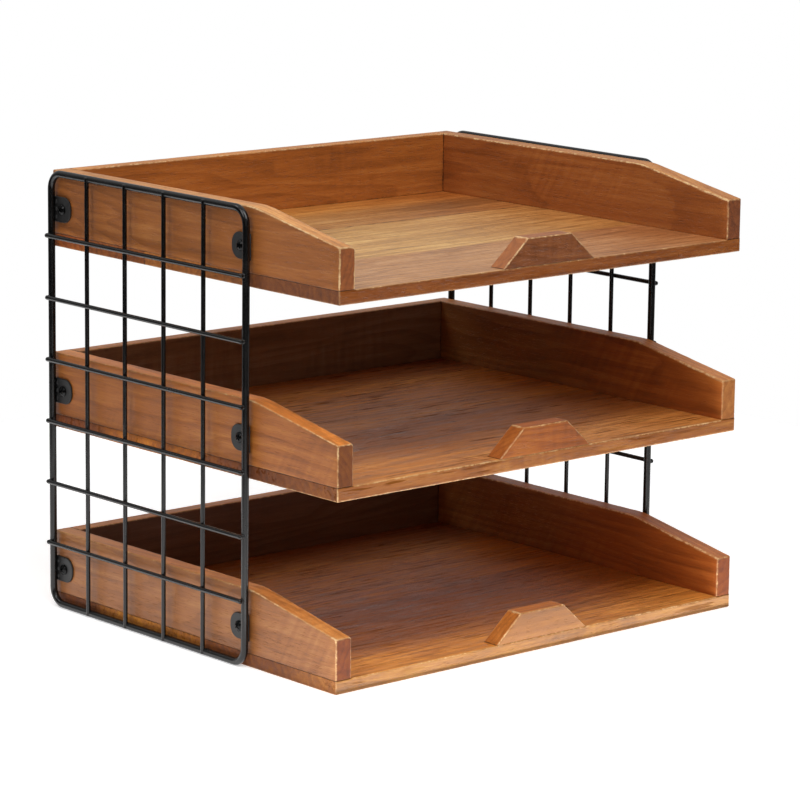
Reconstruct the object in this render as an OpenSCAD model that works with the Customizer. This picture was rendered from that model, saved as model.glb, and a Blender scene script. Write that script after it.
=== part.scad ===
// Three-tier paper tray: three open wooden trays screwed between two welded wire side frames.
// Origin: centre of the footprint, on the surface that it stands on. +Z is up, -Y is the open front.

/* [Trays] */
// Outside width of each tray
tray_w = 330; // [310:1:360]
// Outside depth of each tray
tray_d = 276; // [255:1:300]
// Rise from one tray's underside to the next
tray_pitch = 115; // [105:1:118]
// Thickness of a base board
base_t = 8.5; // [6:0.5:12]
// Thickness of a side wall
side_t = 12; // [11:0.5:15]
// Thickness of a back wall
back_t = 10; // [8:0.5:14]
// Height of a wall above its base board
wall_h = 39.5; // [34:0.5:42]
// Height of a side wall's front end above its base board
nose_h = 25; // [18:0.5:30]
// Length of the sloped stretch of a side wall
slope_run = 78; // [60:1:78]
// Radius that eases the corner at the top of the slope
knee_r = 60; // [10:5:80]

/* [Front stops] */
// Width of a front stop where it stands on the base
stop_foot_w = 75; // [60:1:100]
// Width of a front stop along its top
stop_top_w = 36; // [20:1:50]
// Height of a front stop
stop_h = 17; // [10:0.5:24]
// Thickness of a front stop
stop_t = 12; // [8:0.5:15]

/* [Wire side frames] */
// Outside height of a side frame
frame_h = 279; // [276:0.5:300]
// Outside depth of a side frame
frame_d = 197; // [180:1:198]
// Distance from the trays' front to the side frames
frame_setback = 78; // [78:1:90]
// Diameter of the bent rim rod
rim_d = 4.5; // [3.5:0.1:5]
// Bend radius of the rim rod, at its centre line
rim_bend_r = 10; // [6:0.5:14]
// Diameter of the grid wires
wire_d = 2.8; // [2:0.1:3]
// How far a cross wire runs past the centre line of the rim rod
wire_overrun = 1.2; // [0.5:0.1:1.8]
// How far an upright runs past the centre line of the rim rod
upright_overrun = 1.6; // [0.5:0.1:1.8]

/* [Tabs and fixings] */
// Height of a mounting tab
tab_h = 16; // [15:0.5:18]
// Length of a mounting tab from the rim rod's centre line
tab_reach = 16.5; // [13:0.5:18]
// Radius of a mounting tab's two free corners
tab_corner_r = 7; // [3:0.5:7.5]
// Thickness of a mounting tab
tab_t = 1.2; // [1:0.1:2]
// Distance from the rim rod's centre line to the screw
screw_reach = 8; // [7.5:0.5:10]
// Diameter of a screw's head
screw_head_d = 6.6; // [5.5:0.1:8]
// Height of a screw's head
screw_head_h = 2; // [1.6:0.1:2.6]
// Diameter of a screw's shank
screw_d = 2.9; // [2.5:0.1:3.5]
// Length of a screw under its head
screw_len = 10; // [8:0.5:11]
// Diameter of a brad
brad_d = 1.4; // [1.2:0.1:1.6]
// Length of a brad
brad_len = 24; // [20:1:25]

/* [Hidden] */

wood_base = "#a5683c";
wood_wall = "#8f4f2c";
wood_stop = "#a65f35";
wire_black = "#1d1d1f";
screw_black = "#111113";
brad_steel = "#9a9a9c";
$fn = 48;

// Tiers, counted up from the surface.
lower = 0;
middle = 1;
upper = 2;

// Both frame uprights and cross wires divide their frame into equal spaces.
uprights = 4;
cross_wires = 6;

rim_r = rim_d / 2;
wire_r = wire_d / 2;
overall_d = max(tray_d, frame_setback + frame_d);
front_y = -overall_d / 2;
back_y = front_y + tray_d;
half_w = tray_w / 2;
wall_top = base_t + wall_h;

// Planes of the side frame, as distances out from the trays' centre.
tab_x = half_w;
rim_x = half_w + tab_t + rim_r;
upright_x = rim_x + wire_r;
weld_sink = 0.15;
cross_x = rim_x + rim_r + wire_r - weld_sink;
head_x = half_w + tab_t;

rim_front_y = front_y + frame_setback + rim_r;
rim_back_y = front_y + frame_setback + frame_d - rim_r;
rim_low_z = rim_r;
rim_high_z = frame_h - rim_r;
tab_z = wall_top / 2;

// The cut that a rod makes in a neighbour is a touch deeper than the rod's end.
cut_extra = 1;

// Clearance of the screw in the hole of its tab, on the diameter.
screw_gap = 0.5;
screw_tip = 3;
recess_arm = 4;
recess_slot = 0.9;
recess_depth = 1.2;

// A tab starts this far on the outer side of its rod's centre line.
tab_start = 0.6;
head_edge = 0.7;

// Brads rise through the base board: this far in from the ends of what they hold.
brad_inset = 25;
side_brads = 4;
back_brads = 3;
stop_brad_gap = 30;

function upright_y(i) = rim_back_y + (rim_front_y - rim_back_y) * i / (uprights + 1);
function cross_z(i) = rim_high_z + (rim_low_z - rim_high_z) * i / (cross_wires + 1);

// Lays a flat outline drawn in (y, z) across the width, from x = 0.
module across_width(thickness) {
    rotate([90, 0, 90]) linear_extrude(height = thickness) children();
}

module left() {
    mirror([1, 0, 0]) children();
}

module at_tier(tier) {
    translate([0, 0, tier * tray_pitch]) children();
}

// A straight round rod between two points that lie along Y or along Z.
module rod_y(x, y_from, y_to, z, d) {
    translate([x, y_from, z]) rotate([-90, 0, 0]) cylinder(h = y_to - y_from, d = d);
}

module rod_z(x, y, z_from, z_to, d) {
    translate([x, y, z_from]) cylinder(h = z_to - z_from, d = d);
}

// ---------- Trays ----------

// Profile of a side wall: level behind the knee, sloped down to the nose in front of it.
module side_wall_profile() {
    slope = atan2(wall_h - nose_h, slope_run);
    ease = knee_r * tan(slope / 2);
    centre = [front_y + slope_run + ease, wall_top - knee_r];
    knee = [for (k = [0:4]) centre + knee_r * [-sin(slope * k / 4), cos(slope * k / 4)]];
    polygon(concat(
        [[front_y, base_t], [back_y, base_t], [back_y, wall_top]],
        knee,
        [[front_y, base_t + nose_h]]
    ));
}

module brad(x, y) {
    translate([x, y, 0]) cylinder(h = brad_len, d = brad_d, $fn = 24);
}

module tray_brads() {
    side_x = half_w - side_t / 2;
    side_step = (tray_d - 2 * brad_inset) / (side_brads - 1);
    back_half = half_w - side_t - brad_inset;
    for (i = [0:side_brads - 1]) {
        brad(-side_x, front_y + brad_inset + i * side_step);
        brad(side_x, front_y + brad_inset + i * side_step);
    }
    for (i = [0:back_brads - 1]) {
        brad(back_half * (2 * i / (back_brads - 1) - 1), back_y - back_t / 2);
    }
    for (side = [-1, 1]) {
        brad(side * stop_brad_gap / 2, front_y + stop_t / 2);
    }
}

module stop_blank() {
    translate([0, front_y + stop_t, base_t]) rotate([90, 0, 0]) linear_extrude(height = stop_t)
        polygon([
            [-stop_foot_w / 2, 0],
            [stop_foot_w / 2, 0],
            [stop_top_w / 2, stop_h],
            [-stop_top_w / 2, stop_h]
        ]);
}

module base_board(tier) {
    color(wood_base) at_tier(tier) difference() {
        translate([-half_w, front_y, 0]) cube([tray_w, tray_d, base_t]);
        tray_brads();
    }
}

module right_wall(tier) {
    color(wood_wall) at_tier(tier) difference() {
        translate([half_w - side_t, 0, 0]) across_width(side_t) side_wall_profile();
        tray_brads();
        wall_screws();
    }
}

module back_wall(tier) {
    color(wood_wall) at_tier(tier) difference() {
        translate([side_t - half_w, back_y - back_t, base_t]) cube([tray_w - 2 * side_t, back_t, wall_h]);
        tray_brads();
    }
}

module front_stop(tier) {
    color(wood_stop) at_tier(tier) difference() {
        stop_blank();
        tray_brads();
    }
}

module brads(tier) {
    color(brad_steel) at_tier(tier) tray_brads();
}

// ---------- Wire side frames, drawn on the right ----------

// One bend of the rim: it turns from the direction of angle to that of angle + 90.
module rim_bend(y, z, angle) {
    translate([rim_x, y, z]) rotate([90, 0, 90]) rotate([0, 0, angle])
        rotate_extrude(angle = 90) translate([rim_bend_r, 0]) circle(d = rim_d);
}

module rim_rod() {
    low = rim_low_z + rim_bend_r;
    high = rim_high_z - rim_bend_r;
    front = rim_front_y + rim_bend_r;
    back = rim_back_y - rim_bend_r;
    rod_z(rim_x, rim_front_y, low, high, rim_d);
    rod_z(rim_x, rim_back_y, low, high, rim_d);
    rod_y(rim_x, front, back, rim_low_z, rim_d);
    rod_y(rim_x, front, back, rim_high_z, rim_d);
    rim_bend(back, high, 0);
    rim_bend(front, high, 90);
    rim_bend(front, low, 180);
    rim_bend(back, low, 270);
}

module rim() {
    color(wire_black) rim_rod();
}

module upright_rod(i) {
    rod_z(upright_x, upright_y(i), rim_low_z - upright_overrun, rim_high_z + upright_overrun, wire_d);
}

// The straight rails of the rim, which the uprights are welded down onto.
module rim_rails() {
    rod_y(rim_x, rim_front_y, rim_back_y, rim_low_z, rim_d);
    rod_y(rim_x, rim_front_y, rim_back_y, rim_high_z, rim_d);
}

module rim_posts() {
    rod_z(rim_x, rim_front_y, rim_low_z, rim_high_z, rim_d);
    rod_z(rim_x, rim_back_y, rim_low_z, rim_high_z, rim_d);
}

module upright(i) {
    color(wire_black) difference() {
        upright_rod(i);
        rim_rails();
    }
}

module cross_wire(i) {
    color(wire_black) difference() {
        rod_y(cross_x, rim_front_y - wire_overrun, rim_back_y + wire_overrun, cross_z(i), wire_d);
        rim_posts();
        for (k = [1:uprights]) upright_rod(k);
    }
}

// A tab is a flat plate behind the rod, with two rounded free corners and a hole for its screw.
module tab_outline() {
    flat_h = tab_h - 2 * tab_corner_r;
    difference() {
        union() {
            translate([-tab_start, -tab_h / 2]) square([tab_reach - tab_corner_r + tab_start, tab_h]);
            translate([-tab_start, -flat_h / 2]) square([tab_reach + tab_start, flat_h]);
            for (side = [-1, 1]) {
                translate([tab_reach - tab_corner_r, side * flat_h / 2]) circle(r = tab_corner_r);
            }
        }
        translate([screw_reach, 0]) circle(d = screw_d + screw_gap);
    }
}

// Places its children at a tab's rod, with their x axis running towards the frame's middle.
module at_front_tab(tier) {
    translate([tab_x, rim_front_y, tier * tray_pitch + tab_z]) rotate([90, 0, 90]) children();
}

module at_back_tab(tier) {
    translate([tab_x, rim_back_y, tier * tray_pitch + tab_z]) rotate([90, 0, 90]) mirror([1, 0, 0]) children();
}

module front_tab(tier) {
    color(wire_black) at_front_tab(tier) linear_extrude(height = tab_t) tab_outline();
}

module back_tab(tier) {
    color(wire_black) at_back_tab(tier) linear_extrude(height = tab_t) tab_outline();
}

// ---------- Screws ----------

// The part of a screw below its head, pointing down from z = 0.
module screw_shank() {
    translate([0, 0, screw_tip - screw_len]) cylinder(h = screw_len - screw_tip, d = screw_d);
    translate([0, 0, -screw_len]) cylinder(h = screw_tip, d1 = 0.6, d2 = screw_d);
}

// A pan head: a short round edge under a dome, with a cross recess.
module screw_head() {
    dome_h = screw_head_h - head_edge;
    dome_r = (screw_head_d * screw_head_d / 4 + dome_h * dome_h) / (2 * dome_h);
    difference() {
        intersection() {
            cylinder(h = screw_head_h, d = screw_head_d);
            translate([0, 0, screw_head_h - dome_r]) sphere(r = dome_r, $fn = 96);
        }
        for (turn = [45, 135]) {
            rotate([0, 0, turn]) translate([-recess_arm / 2, -recess_slot / 2, screw_head_h - recess_depth])
                cube([recess_arm, recess_slot, recess_depth + cut_extra]);
        }
    }
}

module screw() {
    translate([0, 0, tab_t]) {
        screw_head();
        screw_shank();
    }
}

// The shanks of one tray's two screws, as the wall meets them.
module wall_screws() {
    at_front_tab(lower) translate([screw_reach, 0, tab_t]) screw_shank();
    at_back_tab(lower) translate([screw_reach, 0, tab_t]) screw_shank();
}

module screws() {
    color(screw_black) for (tier = [lower, middle, upper]) {
        at_front_tab(tier) translate([screw_reach, 0, 0]) screw();
        at_back_tab(tier) translate([screw_reach, 0, 0]) screw();
    }
}

// ---------- Nodes ----------

base_board(upper);  // upper_base
left() right_wall(upper);  // upper_left_wall
right_wall(upper);  // upper_right_wall
back_wall(upper);  // upper_back_wall
front_stop(upper);  // upper_front_stop
brads(upper);  // upper_brads

base_board(middle);  // middle_base
left() right_wall(middle);  // middle_left_wall
right_wall(middle);  // middle_right_wall
back_wall(middle);  // middle_back_wall
front_stop(middle);  // middle_front_stop
brads(middle);  // middle_brads

base_board(lower);  // lower_base
left() right_wall(lower);  // lower_left_wall
right_wall(lower);  // lower_right_wall
back_wall(lower);  // lower_back_wall
front_stop(lower);  // lower_front_stop
brads(lower);  // lower_brads

left() rim();  // left_rim
rim();  // right_rim

left() upright(1);  // left_upright_1
left() upright(2);  // left_upright_2
left() upright(3);  // left_upright_3
left() upright(4);  // left_upright_4
upright(1);  // right_upright_1
upright(2);  // right_upright_2
upright(3);  // right_upright_3
upright(4);  // right_upright_4

left() cross_wire(1);  // left_cross_wire_1
left() cross_wire(2);  // left_cross_wire_2
left() cross_wire(3);  // left_cross_wire_3
left() cross_wire(4);  // left_cross_wire_4
left() cross_wire(5);  // left_cross_wire_5
left() cross_wire(6);  // left_cross_wire_6
cross_wire(1);  // right_cross_wire_1
cross_wire(2);  // right_cross_wire_2
cross_wire(3);  // right_cross_wire_3
cross_wire(4);  // right_cross_wire_4
cross_wire(5);  // right_cross_wire_5
cross_wire(6);  // right_cross_wire_6

left() front_tab(upper);  // left_upper_front_tab
left() back_tab(upper);  // left_upper_back_tab
left() front_tab(middle);  // left_middle_front_tab
left() back_tab(middle);  // left_middle_back_tab
left() front_tab(lower);  // left_lower_front_tab
left() back_tab(lower);  // left_lower_back_tab
front_tab(upper);  // right_upper_front_tab
back_tab(upper);  // right_upper_back_tab
front_tab(middle);  // right_middle_front_tab
back_tab(middle);  // right_middle_back_tab
front_tab(lower);  // right_lower_front_tab
back_tab(lower);  // right_lower_back_tab

left() screws();  // left_screws
screws();  // right_screws
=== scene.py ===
"""Visual model of a three-tier paper tray: stained trays screwed between black wire side frames."""

import math
import random

import bmesh
import bpy
import numpy as np
from mathutils import Matrix, Vector, noise


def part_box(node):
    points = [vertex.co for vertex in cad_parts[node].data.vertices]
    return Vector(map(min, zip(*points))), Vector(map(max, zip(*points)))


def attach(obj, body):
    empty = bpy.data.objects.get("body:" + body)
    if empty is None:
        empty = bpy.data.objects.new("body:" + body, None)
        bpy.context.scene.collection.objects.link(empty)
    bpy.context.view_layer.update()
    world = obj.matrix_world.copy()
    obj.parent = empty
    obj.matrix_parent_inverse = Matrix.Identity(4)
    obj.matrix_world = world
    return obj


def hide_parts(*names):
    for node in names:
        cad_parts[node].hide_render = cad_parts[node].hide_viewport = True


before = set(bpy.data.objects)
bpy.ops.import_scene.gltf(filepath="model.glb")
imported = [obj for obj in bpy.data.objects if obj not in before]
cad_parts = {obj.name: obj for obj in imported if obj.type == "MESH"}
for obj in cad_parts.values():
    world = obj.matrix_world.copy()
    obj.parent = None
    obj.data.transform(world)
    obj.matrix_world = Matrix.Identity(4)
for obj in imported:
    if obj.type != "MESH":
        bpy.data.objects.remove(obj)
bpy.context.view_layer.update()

BODY = "root"
TIERS = ("upper", "middle", "lower")
SIDES = ("left", "right")
UPRIGHTS = range(1, 5)
CROSS_WIRES = range(1, 7)
MM = 0.001
X, Y, Z = 0, 1, 2

# Farther off than any edge or joint, and how near a face a vertex is taken to lie on it.
FAR = 1.0
ON_FACE = 0.3 * MM
ON_TOP = 0.05 * MM
TOUCHING = 0.01 * MM

NOSE_H = 25 * MM
SLOPE_RUN = 78 * MM
KNEE_R = 60 * MM
KNEE_STEPS = 6
STOP_TOP_W = 36 * MM
RIM_R = 2.25 * MM
RIM_BEND_R = 10 * MM
WIRE_R = 1.4 * MM
TAB_CORNER_R = 7 * MM
TAB_EDGE_R = 0.38 * MM
TAB_START = 0.6 * MM

# ---------- How edges are rounded ----------

# FREE_EDGE, BASE_EDGE and JOINT_EDGE are shares of the radius ROUND. HOLLOW, EDGE_DIP and
# EDGE_REACH are in mm: how far faces sink and edges drop, and how far in they drop.
ROUND = 2.6 * MM
EDGE_SEGMENTS = 3
FREE_EDGE = 0.34
BASE_EDGE = 0.8 * FREE_EDGE
JOINT_EDGE = 0.05
HOLLOW = 0.04
EDGE_DIP = 0.22
EDGE_REACH = 1.2
BROAD_PER_M = 22
TIGHT_PER_M = 160
JOINT_LINE = 0.3 * MM
TIGHTER_SIDE_FOOT = 0.2 * MM
TIGHTER_BACK_FOOT = 0.3 * MM

# ---------- Spacing of the cuts that carry a board's measures, in metres ----------

SIDE_WALL_STEP = 6 * MM
BACK_WALL_STEP = 7 * MM
BASE_STEP = 9 * MM
STOP_STEP = 3 * MM
BY_JOINT = (-0.6 * MM, 0, 0.6 * MM)

# Loops just inside large faces: the least area of such a face, and each loop's step inwards.
BASE_LOOPS = (2e-3, (0.5 * MM, 0.9 * MM, 1.2 * MM))
BACK_WALL_LOOPS = (2e-4, (0.4 * MM, 0.9 * MM, 1.6 * MM))
STOP_LOOPS = (5e-5, (0.3 * MM, 0.8 * MM))
TAB_LOOPS = (5e-5, (0.15 * MM,))

# ---------- Finishes, as linear colours ----------

STAIN_DARK = (0.105, 0.031, 0.008)
STAIN_MID = (0.36, 0.121, 0.027)
STAIN_LIGHT = (0.60, 0.27, 0.082)
SANDED = (0.74, 0.50, 0.25)
RUBBED = (0.60, 0.36, 0.16)
JOINT_SHADE = (0.045, 0.014, 0.004)
COAT_BLACK = (0.0032, 0.0030, 0.0030)
COAT_GREY = (0.014, 0.0135, 0.0135)
SCREW_BLACK = (0.012, 0.012, 0.012)
BRAD_STEEL = (0.36, 0.35, 0.34)


# ================ Node graphs ================


class Graph:
    """The nodes of a material or world, made by plain calls with sockets, numbers or tuples."""

    def __init__(self, owner):
        owner.use_nodes = True
        self.owner = owner
        self.tree = owner.node_tree
        self.tree.nodes.clear()

    def add(self, kind, inputs, **settings):
        node = self.tree.nodes.new("ShaderNode" + kind)
        for key, value in settings.items():
            setattr(node, key, value)
        for key, value in inputs.items():
            if isinstance(value, bpy.types.NodeSocket):
                self.tree.links.new(value, node.inputs[key])
            else:
                node.inputs[key].default_value = value
        return node

    def vector(self, name):
        return self.add("Attribute", {}, attribute_name=name).outputs["Vector"]

    def number(self, name):
        return self.add("Attribute", {}, attribute_name=name).outputs["Fac"]

    def math(self, operation, *values):
        return self.add("Math", dict(enumerate(values)), operation=operation).outputs[0]

    def vmath(self, operation, *values):
        node = self.add("VectorMath", dict(enumerate(values)), operation=operation)
        return node.outputs["Value" if operation == "LENGTH" else "Vector"]

    def in_mm(self, metres):
        return self.vmath("MULTIPLY", metres, (1 / MM, 1 / MM, 1 / MM))

    def parts(self, vector):
        return self.add("SeparateXYZ", {0: vector}).outputs

    def fade(self, value, start, end):
        """Smooth step from 0 at start to 1 at end."""
        inputs = {"Value": value, "From Min": start, "From Max": end}
        return self.add("MapRange", inputs, interpolation_type="SMOOTHSTEP").outputs["Result"]

    def noise(self, point, size, detail=2.0, roughness=0.5):
        """Noise about 0.5. size is a patch's length along each axis of point."""
        scaled = self.vmath("MULTIPLY", point, tuple(1 / s for s in size))
        inputs = {"Vector": scaled, "Scale": 1.0, "Detail": detail, "Roughness": roughness}
        return self.add("TexNoise", inputs).outputs["Fac"]

    def around(self, value, gain):
        """The value's distance from 0.5, times gain."""
        return self.math("MULTIPLY", self.math("SUBTRACT", value, 0.5), gain)

    def total(self, *values):
        result = values[0]
        for value in values[1:]:
            result = self.math("ADD", result, value)
        return result

    def mix(self, amount, first, second, blend="MIX"):
        inputs = {0: amount, 6: rgba(first), 7: rgba(second)}
        return self.add("Mix", inputs, data_type="RGBA", blend_type=blend).outputs[2]

    def ramp(self, value, stops):
        node = self.add("ValToRGB", {0: value})
        elements = node.color_ramp.elements
        while len(elements) < len(stops):
            elements.new(0.5)
        for element, (place, colour) in zip(elements, stops):
            element.position = place
            element.color = rgba(colour)
        return node.outputs["Color"]

    def finish(self, inputs, height, bump_strength, bump_mm):
        bump = self.add("Bump", {"Height": height, "Strength": bump_strength, "Distance": bump_mm * MM})
        shader = self.add("BsdfPrincipled", {**inputs, "Normal": bump.outputs["Normal"]})
        self.add("OutputMaterial", {"Surface": shader.outputs["BSDF"]})
        return self.owner


def rgba(colour):
    return (*colour, 1.0) if isinstance(colour, tuple) and len(colour) == 3 else colour


# ================ Wood ================

# Lengths of the wood's features along, across and through the grain, in mm.
RING_DRIFT = (300, 36, 36)
RING_WANDER = (70, 12, 12)
STREAKS = (120, 3.4, 3.4)
STRANDS = (42, 3.8, 3.8)
FIBRES = (9, 0.6, 0.6)
PORES = (6.0, 0.5, 0.5)
OPEN_PORES = (30, 2.6, 2.6)
PORE_DRIFTS = (90, 26, 26)
BLOTCHES = (95, 38, 38)
CURL_PLACES = (110, 55, 55)
CURL_BANDS = (4.5, 30, 30)
CURL_LEAN = 0.55

# How much flatter the rings are along the board than across it.
RING_TAPER = 0.035

# Widths in mm: of an open glue line, of a joint's dark gap, and of the bare wood along an edge.
GLUE_LINE_LEAST = 0.12
GLUE_LINE_MORE = 0.75
GAP_LEAST = 0.06
GAP_UNEVEN = 0.38
GAP_TEETH = 0.28
BARE_LEAST = 0.08
BARE_MORE = 1.1

GLOSS = 0.45
END_GRAIN_TINT = (0.86, 0.80, 0.74)


def growth_rings(g, point, gap):
    """Darkness of the late wood, 0 to 1, from rings about a pith some way off the board."""
    drift = g.noise(point, RING_DRIFT, 1.0)
    wander = g.noise(point, RING_WANDER, 1.0)
    flat = g.vmath("MULTIPLY", point, (RING_TAPER, 1.0, 1.0))
    radius = g.vmath("LENGTH", flat)
    warped = g.total(radius, g.around(drift, 60.0), g.around(wander, 7.0))
    phase = g.math("FRACT", g.math("DIVIDE", warped, gap))
    rise = g.fade(phase, 0.25, 0.9)
    return g.math("MULTIPLY", rise, g.math("SUBTRACT", 1.0, g.fade(phase, 0.92, 1.0)))


def leaning(g, point):
    """The grain coordinates, with what runs across the grain leaning over."""
    along, across, through = g.parts(point)[0:3]
    leant = g.math("MULTIPLY_ADD", across, CURL_LEAN, along)
    return g.add("CombineXYZ", {0: leant, 1: across, 2: through}).outputs["Vector"]


def planked_and_shaded(g, point, tone, planks_and_shade_bands):
    """Gives each glued-up plank its own stretch of grain, and its own tone over a blended edge; some
    entries are no planks but bands of painted shade across the floor, with a tint alone.

    An entry is (depth where it starts, blend, shift of the grain, tint), in mm. Its shift and tint
    come on top of those of the entries in front of it.
    """
    depth = g.number("depth")
    for start, blend, shift, tint in planks_and_shade_bands:
        past = g.math("GREATER_THAN", depth, start)
        moved = g.vmath("ADD", point, shift)
        point = g.add("Mix", {0: past, 4: point, 5: moved}, data_type="VECTOR").outputs[1]
        amount = g.fade(depth, start - blend, start + blend)
        tone = g.mix(amount, tone, g.mix(1.0, tone, tint, "MULTIPLY"))
    return point, tone


def glue_lines(g, lines):
    """Darkness of the open glue lines between planks, each (depth, strength)."""
    total = 0.0
    depth = g.number("depth")
    spread = g.noise(g.vector("place"), (14, 40, 40), 2.0)
    for place, strength in lines:
        off = g.math("ABSOLUTE", g.math("SUBTRACT", depth, place))
        width = g.math("MULTIPLY_ADD", g.fade(spread, 0.42, 0.62), GLUE_LINE_MORE, GLUE_LINE_LEAST)
        near = g.math("LESS_THAN", off, width)
        total = g.math("MAXIMUM", total, g.math("MULTIPLY", near, strength))
    return total


def open_pores(g, point, amount):
    """Short dark dashes of open grain, in drifts, where the finish doesn't shine."""
    dashes = g.fade(g.noise(point, OPEN_PORES, 2.0, 0.6), 0.53, 0.64)
    drifts = g.fade(g.noise(point, PORE_DRIFTS, 1.0), 0.40, 0.58)
    return g.math("MULTIPLY", g.math("MULTIPLY", dashes, drifts), amount)


def grain_features(g, point, ring_gap):
    """What the grain is made of: rings and pores as darkness, and the rest as noise."""
    curl_places = g.fade(g.noise(point, CURL_PLACES, 1.0), 0.48, 0.66)
    curl_bands = g.around(g.noise(leaning(g, point), CURL_BANDS, 1.0), 1.0)
    return {
        "rings": growth_rings(g, point, ring_gap),
        "streaks": g.noise(point, STREAKS, 3.0, 0.6),
        "strands": g.noise(point, STRANDS, 3.0, 0.65),
        "fibres": g.noise(point, FIBRES, 3.0, 0.65),
        "pores": g.fade(g.noise(point, PORES, 1.0), 0.60, 0.74),
        "blotch": g.noise(point, BLOTCHES, 2.0),
        "curl": g.math("MULTIPLY", curl_bands, curl_places),
    }


def stained(g, grain, tone, figure, fleck):
    """The stain's colour, which follows the grain's features, times the board's tone."""
    lightness = g.total(
        0.53,
        g.math("MULTIPLY", grain["rings"], -0.11),
        g.around(grain["streaks"], 0.48),
        g.around(grain["fibres"], fleck),
        g.around(grain["strands"], figure),
        g.around(grain["blotch"], 0.36),
        g.math("MULTIPLY", grain["curl"], 0.32),
    )
    colour = g.ramp(lightness, [(0.10, STAIN_DARK), (0.5, STAIN_MID), (0.92, STAIN_LIGHT)])
    colour = g.mix(1.0, colour, tone, "MULTIPLY")
    return g.mix(g.math("MULTIPLY", grain["pores"], 0.65 * fleck), colour, STAIN_DARK)


def marked(g, colour, marks, strands):
    """Adds knots and dark patches with ragged edges, each (place, size, strength)."""
    for place, size, strength in marks:
        gone = g.vmath("SUBTRACT", g.vector("place"), place)
        reach = g.vmath("LENGTH", g.vmath("MULTIPLY", gone, tuple(1 / s for s in size)))
        ragged = g.total(reach, g.around(strands, 1.1))
        mark = g.math("SUBTRACT", 1.0, g.fade(ragged, 0.45, 1.0))
        colour = g.mix(g.math("MULTIPLY", mark, strength), colour, JOINT_SHADE)
    return colour


def end_grain(g, end_axis):
    """1 on the faces where the board's grain ends, and 0 on the others."""
    facing = g.parts(g.add("NewGeometry", {}).outputs["Normal"])[end_axis]
    return g.fade(g.math("ABSOLUTE", facing), 0.72, 0.92)


def wood(
    name, end_axis, planks_and_shade_bands=(), lines=(), marks=(),
    ring_gap=6.5, figure=0.15, fleck=0.36, dullness=0.46, open_grain=0.0,
):
    """Stained board with rings, streaks, fibres, pores, a curl, sanded edges and dark joints.

    figure is the contrast of its strands, fleck that of its fibres, and dullness its mean roughness.
    """
    g = Graph(bpy.data.materials.new(name))
    point, tone = planked_and_shaded(g, g.in_mm(g.vector("grain")), g.vector("tone"), planks_and_shade_bands)
    grain = grain_features(g, point, ring_gap)
    colour = stained(g, grain, tone, figure, fleck)
    gloss = GLOSS
    if open_grain:
        dashes = open_pores(g, point, open_grain)
        colour = g.mix(g.math("MULTIPLY", dashes, 0.6), colour, STAIN_DARK)
        gloss = g.math("MULTIPLY_ADD", dashes, -0.42, GLOSS)

    end = end_grain(g, end_axis)
    colour = g.mix(end, colour, g.mix(1.0, colour, END_GRAIN_TINT, "MULTIPLY"))
    colour = marked(g, colour, marks, grain["strands"])
    bare, colour = worn_edges(g, colour)
    joint = joint_shade(g, lines)
    colour = g.mix(joint, colour, JOINT_SHADE)

    roughness = g.total(
        dullness,
        g.around(grain["fibres"], 0.36),
        g.around(grain["strands"], 1.2 * figure),
        g.math("MULTIPLY", grain["pores"], 0.12),
        g.math("MULTIPLY", bare, 0.2),
        g.math("MULTIPLY", end, 0.3),
    )
    height = g.total(
        g.math("MULTIPLY", grain["fibres"], 0.5),
        g.math("MULTIPLY", grain["rings"], 0.25),
        g.math("MULTIPLY", grain["pores"], -0.9),
        g.math("MULTIPLY", joint, -1.5),
    )
    shader = {"Base Color": colour, "Roughness": roughness, "Specular IOR Level": gloss}
    return g.finish(shader, height, 0.6, 0.25)


def worn_edges(g, colour):
    """Pale wood where sanding went through the stain, along the free edges."""
    place = g.vector("place")
    worn = g.number("worn")
    broad = g.noise(place, (26, 26, 26), 2.0)
    fine = g.noise(place, (3.2, 3.2, 3.2), 3.0, 0.7)
    off = g.total(g.number("edge"), g.around(fine, -2.2))
    thin = g.math("SUBTRACT", 1.0, g.fade(off, 0.25, 1.15))
    amount = g.math("MULTIPLY_ADD", worn, 0.55, 0.2)
    colour = g.mix(g.math("MULTIPLY", thin, amount), colour, RUBBED)
    reach = g.math("MULTIPLY", g.fade(broad, 0.32, 0.66), worn)
    width = g.math("MULTIPLY_ADD", reach, BARE_MORE, BARE_LEAST)
    bare = g.math("SUBTRACT", 1.0, g.fade(g.math("DIVIDE", off, width), 0.35, 1.0))
    return bare, g.mix(g.math("MULTIPLY", bare, 0.75), colour, SANDED)


def joint_shade(g, lines):
    """Dark gaps where boards meet, a little wider in places."""
    place = g.vector("place")
    uneven = g.noise(place, (9, 9, 9), 2.0)
    teeth = g.math("PINGPONG", g.parts(place)["Z"], 1.2)
    width = g.math("MULTIPLY_ADD", g.fade(uneven, 0.40, 0.75), GAP_UNEVEN, GAP_LEAST)
    width = g.math("MULTIPLY_ADD", teeth, GAP_TEETH, width)
    gap = g.math("SUBTRACT", 1.0, g.fade(g.math("DIVIDE", g.number("seam"), width), 0.5, 1.2))
    gap = g.math("MULTIPLY", gap, 0.7)
    return g.math("MAXIMUM", gap, glue_lines(g, lines)) if lines else gap


# ================ Metal ================


def powder_coat(name, colour, roughness):
    """Satin black coating with a faint orange peel and dull, dusty patches."""
    g = Graph(bpy.data.materials.new(name))
    place = g.vector("place")
    peel = g.noise(place, (0.9, 0.9, 0.9), 2.0)
    dust = g.noise(place, (17, 17, 17), 3.0, 0.6)
    lighter = tuple(1.8 * c for c in colour)
    shade = g.mix(g.fade(dust, 0.45, 0.75), colour, lighter)
    rough = g.total(roughness, g.around(dust, 0.22), g.around(peel, 0.08))
    shader = {"Base Color": shade, "Roughness": rough, "Specular IOR Level": 0.42}
    return g.finish(shader, peel, 0.1, 0.05)


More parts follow.
